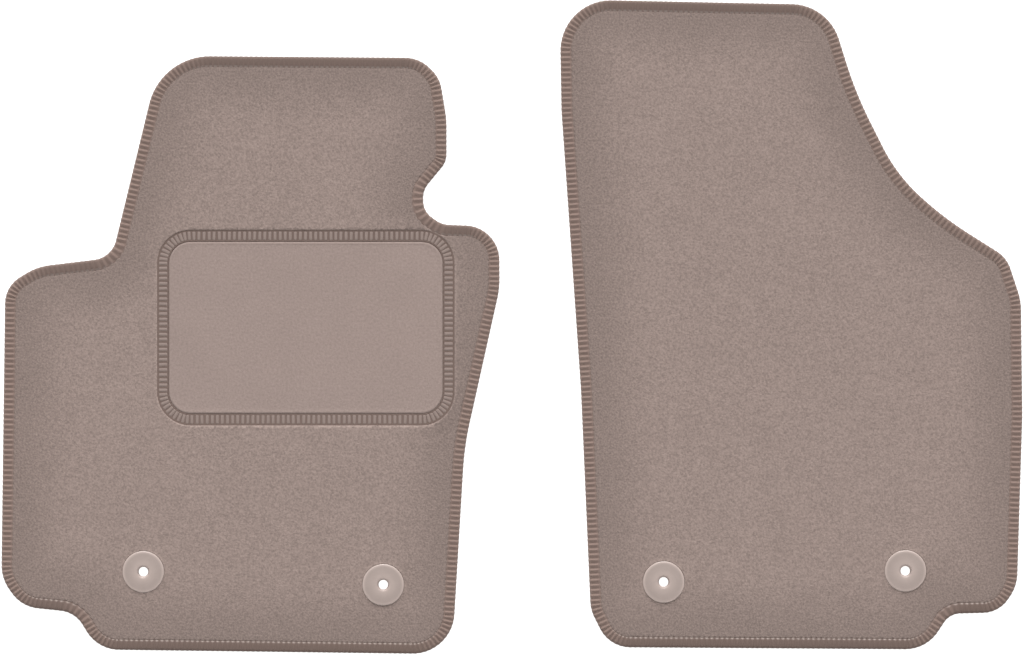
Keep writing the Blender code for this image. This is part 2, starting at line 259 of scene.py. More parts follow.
def carried(body, line, profile):
    """Carry a closed profile round the line by extruding a ring of edges.

    Each point of the profile is (distance inwards, height), and may have two more numbers: how far a
    lifted wrap moves it outwards and up. The wrap map is for the yarn's look; the run mask carries painted
    shade along a mat's ends, and the tip mask a painted highlight at each wrap's inner end.
    """
    points, inwards = line
    station_of = body.verts.layers.int.new("station")
    across = body.verts.layers.float.new("across")
    # painted shade: the yarn is coloured darker where it runs along a mat's pedal and seat ends
    run_shade_of = body.verts.layers.float.new("painted_run_shade")
    # painted highlight on each wrap's inner end along a mat's pedal and seat ends
    tip_light = body.verts.layers.float.new("painted_tip_highlight")
    uv = body.loops.layers.uv.new("wrap")
    wraps = [shingle(line, station) for station in range(len(points))]

    def put(ring, inset, height, out=0.0, up=0.0, run=0.0):
        for vert in ring:
            station = vert[station_of]
            x, y = points[station] + inwards[station] * (inset - out * wraps[station])
            vert.co = (x, y, height + up * wraps[station])
            vert[across] = run
            vert[run_shade_of] = abs(inwards[station][0])
            at_end = 1.0 - smooth_share(abs(inset - YARN_END), *YARN_END_REACH)
            vert[tip_light] = at_end * wraps[station] * (1.0 - abs(inwards[station][0]))

    ring = [body.verts.new((0.0, 0.0, 0.0)) for _ in points]
    for index, vert in enumerate(ring):
        vert[station_of] = index
    first_edges = [body.edges.new((ring[index - 1], ring[index])) for index in range(len(ring))]
    put(ring, *profile[0])
    edges = first_edges
    run = 0.0
    faces = []
    for before, after in zip(profile, profile[1:]):
        run += math.dist(before[:2], after[:2])
        edges, ring, made = extruded_ring(body, edges)
        faces += made
        put(ring, *after, run=run)
    faces += bmesh.ops.bridge_loops(body, edges=first_edges + edges)["faces"]
    step = float(np.linalg.norm(points[1] - points[0]))
    for face in faces:
        stations = [loop.vert[station_of] for loop in face.loops]
        wraps_over = max(stations) - min(stations) > len(points) / 2
        for loop, place in zip(face.loops, stations):
            if wraps_over and place < len(points) / 2:
                place += len(points)
            loop[uv].uv = (place * step, loop.vert[across])
    bmesh.ops.recalc_face_normals(body, faces=body.faces)
    return body


def strand_mesh(name, route, width, height, square=0.0):
    """One length of yarn over a route of (distance, height, fullness): a ring extruded along it.

    square swells the section from an oval towards a rounded box.
    """
    body = bmesh.new()
    uv = body.loops.layers.uv.new("wrap")
    run_of = body.verts.layers.float.new("run")
    turn_of = body.verts.layers.float.new("turn")
    ring = bmesh.ops.create_circle(body, segments=STRAND_SIDES, radius=1.0, cap_ends=True)["verts"]
    for vert in ring:
        vert[turn_of] = math.atan2(vert.co.y, vert.co.x)
    face = ring[0].link_faces[0]
    run = 0.0
    for index, (distance, level, fullness) in enumerate(route):
        if index:
            run += math.dist(route[index - 1][:2], (distance, level))
            made = bmesh.ops.extrude_discrete_faces(body, faces=[face])["faces"]
            face = made[0]
            ring = list(face.verts)
        ahead = Vector(route[min(index + 1, len(route) - 1)][:2])
        behind = Vector(route[max(index - 1, 0)][:2])
        way = (ahead - behind).normalized()
        for vert in ring:
            turn = vert[turn_of]
            swell = 1.0 + square * abs(math.sin(2 * turn))
            side = math.cos(turn) * width / 2 * fullness * swell
            out = math.sin(turn) * height / 2 * fullness * swell
            vert.co = (side, distance - way.y * out, level + way.x * out)
            vert[run_of] = run
    bmesh.ops.recalc_face_normals(body, faces=body.faces)
    for face in body.faces:
        for loop in face.loops:
            loop[uv].uv = (loop.vert[run_of], loop.vert[turn_of] / (2 * math.pi))
    mesh = bpy.data.meshes.new(name)
    body.to_mesh(mesh)
    body.free()
    return mesh


def laid_along(body, template, line, count, start=0.0, random=None):
    """Copies of a small mesh set evenly round the line: its X runs along the line and its Y inwards.

    Where random is given, each copy is turned a little, as by hand.
    """
    points, inwards = line
    for number in range(count):
        place = ((number + start) * len(points) / count) % len(points)
        index = int(place)
        share = place - index
        after = (index + 1) % len(points)
        spot = points[index] * (1.0 - share) + points[after] * share
        inward = Vector((*inwards[index], 0.0))
        along = Vector((inward.y, -inward.x, 0.0))
        turned = Matrix((along, inward, Vector((0.0, 0.0, 1.0)))).transposed().to_4x4()
        matrix = Matrix.Translation((spot[0], spot[1], 0.0)) @ turned
        if random is not None:
            matrix = matrix @ Matrix.Rotation(float(random.normal(0.0, LAY_WOBBLE)), 4, "Z")
        before = len(body.verts)
        body.from_mesh(template)
        body.verts.ensure_lookup_table()
        bmesh.ops.transform(body, matrix=matrix, verts=body.verts[before:])
    return body


# ---------------------------------------------------------------- materials

def group(name, inputs, outputs):
    """A shader node group with named sockets, and its two end nodes."""
    tree = bpy.data.node_groups.new(name, "ShaderNodeTree")
    for label, kind, value in inputs:
        socket = tree.interface.new_socket(label, in_out="INPUT", socket_type=kind)
        if value is not None:
            socket.default_value = value
    for label, kind in outputs:
        tree.interface.new_socket(label, in_out="OUTPUT", socket_type=kind)
    return tree, tree.nodes.new("NodeGroupInput"), tree.nodes.new("NodeGroupOutput")


def node(tree, kind, inputs=(), **settings):
    """A node with its settings made and its inputs set or linked."""
    made = tree.nodes.new(kind)
    for key, value in settings.items():
        setattr(made, key, value)
    for key, value in dict(inputs).items():
        if isinstance(value, bpy.types.NodeSocket):
            tree.links.new(value, made.inputs[key])
        else:
            made.inputs[key].default_value = value
    return made


def maths(tree, operation, first, second=0.0, third=0.0):
    return node(tree, "ShaderNodeMath", {0: first, 1: second, 2: third}, operation=operation).outputs[0]


def mixed(tree, factor, first, second, blend="MIX"):
    made = node(tree, "ShaderNodeMix", data_type="RGBA", blend_type=blend)
    for key, value in ((0, factor), (6, first), (7, second)):
        if isinstance(value, bpy.types.NodeSocket):
            tree.links.new(value, made.inputs[key])
        else:
            made.inputs[key].default_value = value
    return made.outputs[2]


def speckle_group():
    """Cut fibre ends: fine light and dark specks with a slow drift, and a height for them."""
    tree, start, end = group(
        "cut_fibres",
        [("Vector", "NodeSocketVector", None), ("Colour", "NodeSocketColor", (0.3, 0.25, 0.22, 1.0)),
         ("Scale", "NodeSocketFloat", 500.0), ("Contrast", "NodeSocketFloat", 0.2)],
        [("Colour", "NodeSocketColor"), ("Height", "NodeSocketFloat")])
    vector = start.outputs["Vector"]
    scale = start.outputs["Scale"]
    fibre_fineness = 3.1
    fibre_share = 0.45
    drift_share = 0.10
    tufts = node(
        tree, "ShaderNodeTexNoise", {"Vector": vector, "Scale": scale, "Detail": 1.5, "Roughness": 0.6})
    fibre_scale = maths(tree, "MULTIPLY", scale, fibre_fineness)
    fibres = node(tree, "ShaderNodeTexNoise", {"Vector": vector, "Scale": fibre_scale, "Detail": 1.0})
    drift = node(tree, "ShaderNodeTexNoise", {"Vector": vector, "Scale": 22.0, "Detail": 2.0})
    both = maths(tree, "MULTIPLY_ADD", fibres.outputs[0], fibre_share, tufts.outputs[0])
    centred = maths(tree, "SUBTRACT", both, 0.5 + fibre_share / 2)
    slow = maths(tree, "MULTIPLY", maths(tree, "SUBTRACT", drift.outputs[0], 0.5), drift_share)
    spread = maths(tree, "MULTIPLY_ADD", centred, start.outputs["Contrast"], 1.0)
    level = maths(tree, "ADD", spread, slow)
    grey = node(tree, "ShaderNodeCombineColor", {0: level, 1: level, 2: level})
    colour = mixed(tree, 1.0, start.outputs["Colour"], grey.outputs[0], "MULTIPLY")
    tree.links.new(colour, end.inputs["Colour"])
    tree.links.new(both, end.inputs["Height"])
    return tree


def twist_group():
    """Plies wound round a strand: slanting stripes along its own wrap map."""
    tree, start, end = group(
        "twisted_ply",
        [("Colour", "NodeSocketColor", (0.2, 0.15, 0.13, 1.0)), ("Pitch", "NodeSocketFloat", 0.0012),
         ("Depth", "NodeSocketFloat", 0.25)],
        [("Colour", "NodeSocketColor"), ("Height", "NodeSocketFloat")])
    fuzz_share = 0.5
    wrap = node(tree, "ShaderNodeUVMap", uv_map="wrap")
    split = node(tree, "ShaderNodeSeparateXYZ", {0: wrap.outputs[0]})
    turns = maths(tree, "DIVIDE", split.outputs[0], start.outputs["Pitch"])
    phase = maths(tree, "MULTIPLY", maths(tree, "MULTIPLY_ADD", split.outputs[1], 2.0, turns), 2 * math.pi)
    stripe = maths(tree, "MULTIPLY_ADD", maths(tree, "SINE", phase), 0.5, 0.5)
    place = node(tree, "ShaderNodeTexCoord")
    fuzz = node(
        tree, "ShaderNodeTexNoise", {"Vector": place.outputs["Object"], "Scale": 1600.0, "Detail": 2.0})
    height = maths(tree, "MULTIPLY_ADD", fuzz.outputs[0], fuzz_share, stripe)
    centred = maths(tree, "SUBTRACT", height, 0.5 + fuzz_share / 2)
    level = maths(tree, "MULTIPLY_ADD", centred, start.outputs["Depth"], 1.0)
    grey = node(tree, "ShaderNodeCombineColor", {0: level, 1: level, 2: level})
    colour = mixed(tree, 1.0, start.outputs["Colour"], grey.outputs[0], "MULTIPLY")
    tree.links.new(colour, end.inputs["Colour"])
    tree.links.new(height, end.inputs["Height"])
    return tree


def grain_group():
    """Moulded plastic or rubber: a fine etched grain, faint flow marks, and its height."""
    tree, start, end = group(
        "moulded_grain",
        [("Vector", "NodeSocketVector", None), ("Colour", "NodeSocketColor", (0.4, 0.35, 0.3, 1.0)),
         ("Scale", "NodeSocketFloat", 2500.0), ("Roughness", "NodeSocketFloat", 0.5)],
        [("Colour", "NodeSocketColor"), ("Roughness", "NodeSocketFloat"), ("Height", "NodeSocketFloat")])
    vector = start.outputs["Vector"]
    flow_spread = 0.12
    etch_spread = 0.16
    etched = node(
        tree, "ShaderNodeTexNoise", {"Vector": vector, "Scale": start.outputs["Scale"], "Detail": 2.0})
    flow = node(
        tree, "ShaderNodeTexNoise", {"Vector": vector, "Scale": 90.0, "Detail": 2.0, "Distortion": 1.0})
    shade = maths(tree, "MULTIPLY_ADD", flow.outputs[0], flow_spread, 1.0 - flow_spread / 2)
    grey = node(tree, "ShaderNodeCombineColor", {0: shade, 1: shade, 2: shade})
    colour = mixed(tree, 1.0, start.outputs["Colour"], grey.outputs[0], "MULTIPLY")
    uneven = maths(tree, "MULTIPLY_ADD", etched.outputs[0], etch_spread, -etch_spread / 2)
    rough = maths(tree, "ADD", start.outputs["Roughness"], uneven)
    tree.links.new(colour, end.inputs["Colour"])
    tree.links.new(rough, end.inputs["Roughness"])
    tree.links.new(etched.outputs[0], end.inputs["Height"])
    return tree


def shader_material(name, **constants):
    """A new material, its tree and its Principled shader with the constants set on its own sockets."""
    material = bpy.data.materials.new(name)
    material.use_nodes = True
    tree = material.node_tree
    shader = tree.nodes["Principled BSDF"]
    for label, value in constants.items():
        shader.inputs[label.replace("_", " ")].default_value = value
    return material, tree, shader


def placed_group(tree, group_tree, **inputs):
    made = tree.nodes.new("ShaderNodeGroup")
    made.node_tree = group_tree
    for label, value in inputs.items():
        if isinstance(value, bpy.types.NodeSocket):
            tree.links.new(value, made.inputs[label])
        else:
            made.inputs[label].default_value = value
    return made


def bump(tree, shader, height, distance):
    made = node(tree, "ShaderNodeBump", {"Height": height, "Distance": distance, "Strength": 1.0})
    tree.links.new(made.outputs[0], shader.inputs["Normal"])


def toned(tree, tint, attribute, low, high):
    """Multiply a colour by a level that goes from low to high with an attribute of the piece."""
    mask = node(tree, "ShaderNodeAttribute", attribute_name=attribute)
    level = maths(tree, "MULTIPLY_ADD", mask.outputs["Fac"], high - low, low)
    grey = node(tree, "ShaderNodeCombineColor", {0: level, 1: level, 2: level})
    return mixed(tree, 1.0, tint, grey.outputs[0], "MULTIPLY")


def pile_material(name, colour, scale, contrast, depth, edge_shaded):
    """Cut-pile velour. Where edge_shaded, the painted_shade_and_highlight attribute paints shade towards the
    mat's edge and a highlight on the lip round the heel pocket.
    """
    material, tree, shader = shader_material(
        name, Roughness=1.0, Sheen_Weight=0.15, Sheen_Roughness=0.5, Specular_IOR_Level=0.1)
    place = node(tree, "ShaderNodeTexCoord")
    fibres = placed_group(
        tree, GROUPS["fibres"], Vector=place.outputs["Object"], Colour=(*colour, 1.0), Scale=scale,
        Contrast=contrast)
    tint = fibres.outputs["Colour"]
    if edge_shaded:
        # painted shade towards the mat's edge, and a painted highlight on the heel pocket's lip
        tint = toned(tree, tint, "painted_shade_and_highlight", PAINTED_EDGE_SHADE, 1.0)
    tree.links.new(tint, shader.inputs["Base Color"])
    bump(tree, shader, fibres.outputs["Height"], depth)
    return material


def yarn_material(name, colour, pitch, depth, end_shade_level=None):
    """Wound yarn, whose plies are depth deep in tone.

    end_shade_level is for the edge binding, and says how far painted shade darkens it along a mat's pedal and
    seat ends next to its long sides. There each wrap gets a painted highlight at its inner end.
    """
    material, tree, shader = shader_material(
        name, Roughness=0.85, Sheen_Weight=0.1, Sheen_Roughness=0.5, Specular_IOR_Level=0.15)
    plies = placed_group(tree, GROUPS["twist"], Colour=(*colour, 1.0), Pitch=pitch, Depth=depth)
    tint = plies.outputs["Colour"]
    if end_shade_level is not None:
        # painted shade along the mat's pedal and seat ends
        tint = toned(tree, tint, "painted_run_shade", end_shade_level, 1.0)
        # painted highlight on the wraps' inner ends
        tip_light = node(tree, "ShaderNodeAttribute", attribute_name="painted_tip_highlight")
        tint = mixed(tree, tip_light.outputs["Fac"], tint, YARN_TIP_HIGHLIGHT_COLOUR)
    tree.links.new(tint, shader.inputs["Base Color"])
    bump(tree, shader, plies.outputs["Height"], 0.00006)
    return material


def moulded_material(name, colour, roughness, scale, depth, lightening=1.0, **constants):
    """Moulded plastic or rubber. lightening is how much lighter its colour is round its bore, and how much
    painted light lifts its rim.
    """
    material, tree, shader = shader_material(name, **constants)
    place = node(tree, "ShaderNodeTexCoord")
    grain = placed_group(
        tree, GROUPS["grain"], Vector=place.outputs["Object"], Colour=(*colour, 1.0), Scale=scale,
        Roughness=roughness)
    tint = grain.outputs["Colour"]
    if lightening != 1.0:
        # lighter colour round the bore, and painted light on the rim
        tint = toned(tree, tint, "bore_tint_and_painted_rim_light", 1.0, lightening)
    tree.links.new(tint, shader.inputs["Base Color"])
    tree.links.new(grain.outputs["Roughness"], shader.inputs["Roughness"])
    bump(tree, shader, grain.outputs["Height"], depth)
    return material


def woven_material(name, colour, pitch):
    """Plain-woven tufting cloth: ribbons over and under each other along X and Y."""
    material, tree, shader = shader_material(name, Roughness=0.8, Specular_IOR_Level=0.25)
    place = node(tree, "ShaderNodeTexCoord")
    split = node(tree, "ShaderNodeSeparateXYZ", {0: place.outputs["Object"]})
    waves = [
        maths(tree, "SINE", maths(tree, "MULTIPLY", split.outputs[axis], math.pi / pitch)) for axis in (0, 1)
    ]
    weave = maths(tree, "MULTIPLY", waves[0], waves[1])
    weave_contrast = 0.18
    level = maths(tree, "MULTIPLY_ADD", weave, weave_contrast, 0.9)
    grey = node(tree, "ShaderNodeCombineColor", {0: level, 1: level, 2: level})
    tint = mixed(tree, 1.0, (*colour, 1.0), grey.outputs[0], "MULTIPLY")
    tree.links.new(tint, shader.inputs["Base Color"])
    bump(tree, shader, weave, 0.0002)
    return material


GROUPS = {"fibres": speckle_group(), "twist": twist_group(), "grain": grain_group()}
MATERIALS = {
    "pile": pile_material(
        "velour_pile", (0.304, 0.235, 0.209), scale=470.0, contrast=0.95, depth=0.0004, edge_shaded=True),
    "pad": pile_material(
        "heel_pad_velour", (0.326, 0.2535, 0.228), scale=400.0, contrast=0.45, depth=0.0002, edge_shaded=False),
    "binding": yarn_material(
        "binding_yarn", (0.249, 0.179, 0.1535), pitch=STITCH_PITCH / 6, depth=0.12, end_shade_level=0.71),
    "tape": yarn_material("sewn_tape", (0.180, 0.1293, 0.111), pitch=STITCH_PITCH / 6, depth=0.12),
    "cell": yarn_material("pad_border_yarn", (0.283, 0.220, 0.196), pitch=0.0010, depth=0.12),
    "thread": yarn_material("needle_thread", (0.250, 0.192, 0.170), pitch=0.0010, depth=0.20),
    "pad_thread": yarn_material("pad_thread", (0.180, 0.1293, 0.111), pitch=0.0010, depth=0.20),
    "cap": moulded_material(
        "clip_plastic", (0.383, 0.310, 0.281), roughness=0.38, scale=2200.0, depth=0.00003, lightening=1.20,
        Specular_IOR_Level=0.5),
    "ring": moulded_material(
        "ring_plastic", (0.30, 0.24, 0.22), roughness=0.5, scale=2200.0, depth=0.00003,
        Specular_IOR_Level=0.5),
    "backing": moulded_material(
        "nonslip_rubber", (0.055, 0.050, 0.047), roughness=0.7, scale=1500.0, depth=0.00010,
        Specular_IOR_Level=0.35),
    "cloth": woven_material("tufting_cloth", (0.42, 0.37, 0.31), pitch=0.0011),
}


# ---------------------------------------------------------------- carpet and other spread layers

def trim_grid(body, borders, way):
    """Cut a grid back to its borders and set its rim on them, in order and without doubled points."""
    border_of = body.verts.layers.int.new("border")
    place_of = body.verts.layers.int.new("place")
    flat = np.array([vert.co[:2] for vert in body.verts])
    kept = inside(flat, borders[0][0][0][::OUTLINE_SKIP])
    for line, _ in borders[1:]:
        kept &= ~inside(flat, line[0][::HOLE_SKIP])
    dropped = [vert for vert, keep in zip(list(body.verts), kept) if not keep]
    bmesh.ops.delete(body, geom=dropped, context="VERTS")
    pinched = True
    while pinched:
        pinched = [
            vert for vert in body.verts
            if not vert.link_faces or sum(edge.is_boundary for edge in vert.link_edges) > 2
        ]
        bmesh.ops.delete(body, geom=pinched, context="VERTS")

    trees = [tree_of(line[0]) for line, _ in borders]
    for vert in body.verts:
        if vert.is_boundary:
            found = [tree.find((vert.co.x, vert.co.y, 0.0)) for tree in trees]
            border = min(range(len(found)), key=lambda index: found[index][2])
            vert[border_of] = border
            vert[place_of] = found[border][1]
            vert.co.x = found[border][0].x
            vert.co.y = found[border][0].y

    backwards = True
    while backwards:
        backwards = {}
        touched = set()
        for edge in body.edges:
            if edge.is_boundary and edge.link_loops:
                start = edge.link_loops[0].vert
                end = edge.other_vert(start)
                count = len(borders[start[border_of]][0][0])
                ahead = (end[place_of] - start[place_of] + count // 2) % count - count // 2
                expected = -way if start[border_of] == 0 else way
                if ahead * expected <= 0 and start not in touched and end not in touched:
                    backwards[end] = start
                    touched |= {start, end}
        if backwards:
            bmesh.ops.weld_verts(body, targetmap=backwards)
    return border_of, place_of


def spread_layer(borders, top, way, spacing, relief, pocket_line=None, fall=None):
    """A layer on a fine grid, trimmed to its borders, with each border's profile carried down.

    borders is a list of (line, profile): the outer one first, then the holes. A profile goes on from
    the border as (distance, height). way is 1 where the grid faces up and -1 where it faces down.
    fall gives how far the carpet is down at a point, and how much painted shade it gets there.
    """
    outer = borders[0][0][0]
    low = outer.min(axis=0)
    size = outer.max(axis=0) - low
    counts = [math.ceil(extent / spacing) for extent in size]
    body = bmesh.new()
    # painted light on each vertex: painted shade towards the mat's edge, and a painted highlight on the lip
    # round the heel pocket
    painted_light_of = body.verts.layers.float.new("painted_shade_and_highlight")
    lip_highlight_of = body.verts.layers.float.new("lip")
    bmesh.ops.create_grid(
        body, x_segments=counts[0], y_segments=counts[1], size=0.5,
        matrix=Matrix.Translation((*(low + size / 2), top)) @ Matrix.Diagonal((*size, 1.0, 1.0)))
    if way < 0:
        bmesh.ops.reverse_faces(body, faces=body.faces)
    border_of, place_of = trim_grid(body, borders, way)
    relief([vert for vert in body.verts if not vert.is_boundary], top)
    if pocket_line:
        press_pocket(body, pocket_line)

    end_edges = []
    for border, ((points, inwards), profile) in enumerate(borders):
        aside = -1 if border == 0 else 1
        edges = [edge for edge in body.edges if edge.is_boundary and edge.verts[0][border_of] == border]
        for distance, height in profile:
            edges, ring, _ = extruded_ring(body, edges)
            for vert in ring:
                x, y = points[vert[place_of]] + inwards[vert[place_of]] * aside * distance
                vert.co = (x, y, height)
        end_edges += edges
    bmesh.ops.triangle_fill(body, use_beauty=True, edges=end_edges, normal=(0.0, 0.0, -way))

    if fall:
        for vert in body.verts:
            drop, fresh = fall(vert.co)
            # fresh is 1 in the field and falls to 0 at the edge, where the painted shade is darkest
            vert[painted_light_of] = fresh + vert[lip_highlight_of]
            depth = (vert.co.z - PRESSED_TOP) / (PILE_TOP - PRESSED_TOP)
            vert.co.z -= drop * min(1.0, max(0.0, depth))
    return body


def press_pocket(body, pocket_line):
    """Press the pile flat inside the pocket, with a raised lip and a steep wall round it, and mark the lip's
    crest for a painted highlight.
    """
    points, inwards = pocket_line
    lip_highlight_of = body.verts.layers.float["lip"]
    tree = tree_of(points)
    nearest = {vert: tree.find((vert.co.x, vert.co.y, 0.0))[1] for vert in body.verts}
    pressed = {}
    for vert, place in nearest.items():
        pressed[vert] = float(np.dot(np.array(vert.co[:2]) - points[place], inwards[place])) > 0.0
    beside = [
        vert for vert in body.verts
        if any(pressed[edge.other_vert(vert)] != pressed[vert] for edge in vert.link_edges)
    ]
    for vert, is_pressed in pressed.items():
        if is_pressed:
            vert.co.z = PRESSED_TOP
    for vert in beside:
        inset, height = LIP_FOOT if pressed[vert] else LIP_CREST
        x, y = points[nearest[vert]] + inwards[nearest[vert]] * inset
        vert.co = (x, y, height)
        # painted highlight on the lip's crest
        vert[lip_highlight_of] = 0.0 if pressed[vert] else LIP_PAINTED_HIGHLIGHT

    touched = {face for vert in beside for face in vert.link_faces}
    for face in touched:
        states = [pressed[vert] for vert in face.verts]
        if len(states) == 4 and states.count(True) in (1, 3):
            lone = states.index(states.count(True) == 1)
            bmesh.utils.face_split(face, face.verts[lone - 1], face.verts[(lone + 1) % 4])


def tufted(seed, tuft, wave, spacing):
    """Relief for a pile: each grid point stands at its own height, on slow waves in the carpet."""
    random = np.random.default_rng(seed)

    def relief(verts, top):
        heights = random.normal(0.0, tuft, len(verts))
        shifts = random.uniform(-TUFT_SHIFT, TUFT_SHIFT, (len(verts), 2)) * spacing
        for vert, height, shift in zip(verts, heights, shifts):
            slow = noise.noise((vert.co.x * WAVES_PER_METRE, vert.co.y * WAVES_PER_METRE, seed))
            vert.co.x += shift[0]
            vert.co.y += shift[1]
            vert.co.z = top + height + slow * wave
    return relief


def nubbed(pitch, depth):
    """Relief for the backing: rows of round nubs that stand down to the floor."""
    def relief(verts, top):
        for vert in verts:
            bumps = math.sin(math.pi * vert.co.x / pitch) * math.sin(math.pi * vert.co.y / pitch)
            vert.co.z = top + depth * (1.0 - abs(bumps))
    return relief


def edge_fall(outline_line, pocket_line):
    """How far down the carpet is at a point, and how much painted shade darkens its colour there."""
    edge_tree = tree_of(outline_line[0])
    pocket_tree = tree_of(pocket_line[0]) if pocket_line else None

    def fall(place):
        spot = (place.x, place.y, 0.0)
        # painted shade: fresh is 0 at the edge, where it is darkest, and 1 in the field
        fresh = smooth_share(edge_tree.find(spot)[2], FALL_START, FALL_END)
        drop = EDGE_FALL * (1.0 - fresh)
        if pocket_tree:
            drop *= smooth_share(pocket_tree.find(spot)[2], *POCKET_HOLD)
        return drop, fresh
    return fall


def mat_layers(side, outline_line, clip_places, pocket_line):
    """The pile sheet and the rubber backing of one mat. The woven base cloth keeps its CAD shape."""
    mat_body = side + "_mat"
    turned = 0.0008                 # over this width the pile turns down at the yarn
    reach = FIELD_INSET + turned - LAYER_INSET
    borders = [(
        moved_in(outline_line, FIELD_INSET + turned),
        [(0.0004, 0.00745), (0.0007, 0.00720), (turned, 0.00680), (turned, PRESSED_TOP), (reach, PRESSED_TOP),
         (reach, PILE_LOW)])]
    wall = 0.0019                   # from where the pile rises round a clip to the side of the clip's seat
    hole = 0.0154
    for place in clip_places:
        borders.append((
            circle_line(place, SEAT_RADIUS, CIRCLE_SPACING),
            [(0.0007, 0.00763), (0.0012, 0.00780), (0.0016, 0.00778), (0.00182, 0.0076), (wall, 0.0071),
             (wall, PRESSED_TOP), (hole, PRESSED_TOP), (hole, PILE_LOW)]))
    relief = tufted(PILE_SEEDS[side], PILE_TUFT, PILE_WAVE, PILE_SPACING)
    fall = edge_fall(outline_line, pocket_line)
    pile = spread_layer(borders, PILE_TOP, 1, PILE_SPACING, relief, pocket_line, fall)
    pile_piece = finish_piece(
        side + "_velour_pile", pile, MATERIALS["pile"], mat_body, [side + "_carpet_pile"])

    back_inset = BINDING_INSET + 0.0004
    back_reach = back_inset - LAYER_INSET
    back_borders = [(
        moved_in(outline_line, back_inset),
        [(0.0, BACKING_RIM_LOW), (back_reach, BACKING_RIM_LOW), (back_reach, BACKING_TOP)])]
    for place in clip_places:
        back_borders.append((circle_line(place, PUNCHED_RADIUS, CIRCLE_SPACING), [(0.0, BACKING_TOP)]))
    backing = spread_layer(back_borders, 0.0, -1, BACKING_SPACING, nubbed(2 * BACKING_SPACING, NUB_DEPTH))
    backing_piece = finish_piece(
        side + "_nubbed_backing", backing, MATERIALS["backing"], mat_body,
        [side + "_nonslip_backing"])

    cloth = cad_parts[side + "_base_cloth"]
    cloth.data.materials.clear()
    cloth.data.materials.append(MATERIALS["cloth"])


# ---------------------------------------------------------------- overlocked edge

def edge_finish(side, outline_line):
    """The wrapped yarn of the binding, one lifted wrap to a stitch, and the needle thread beside it."""
    mat_body = side + "_mat"
    binding = carried(bmesh.new(), outline_line, [
        (0.0122, 0.0056), (0.0121, 0.0059), (0.0116, 0.0061), (0.0110, 0.00615, 0.0, 0.00005),
        (0.0104, 0.0062, 0.0, 0.00045), (0.0097, 0.0062, 0.0, 0.0009), (0.0087, 0.0062, 0.0, 0.00122),
        (0.0028, 0.0062, 0.0, 0.00122), (0.0018, 0.0061, 0.0, 0.00112), (0.0009, 0.0058, 0.0001, 0.0008),
        (0.0001, 0.0050, 0.0003, 0.0003), (-0.0002, 0.0034, 0.0003), (0.0001, 0.0016, 0.0003),
        (0.0009, 0.0006, 0.0002), (0.0020, 0.0002), (0.0082, 0.0002), (0.0084, 0.0010), (0.0013, 0.0010),
        (0.0013, 0.0049),
    ])
    finish_piece(
        side + "_overlocked_yarn", binding, MATERIALS["binding"], mat_body,
        [side + "_edge_binding"])

    stitch = strand_mesh("stitch", [
        (-0.0026, 0.0059, 0.35), (-0.0019, 0.0062, 0.9), (0.0, 0.0063, 1.0), (0.0019, 0.0062, 0.9),
        (0.0026, 0.0059, 0.35),
    ], width=0.0011, height=0.0007)
    stitch.transform(Matrix.Rotation(math.radians(90), 4, "Z"))
    count = len(outline_line[0]) // STATIONS
    stitches = laid_along(bmesh.new(), stitch, moved_in(outline_line, THREAD_INSET), count, start=0.5)
    finish_piece(
        side + "_needle_thread", stitches, MATERIALS["thread"], mat_body,
        [side + "_edge_thread"])


# ---------------------------------------------------------------- heel pad

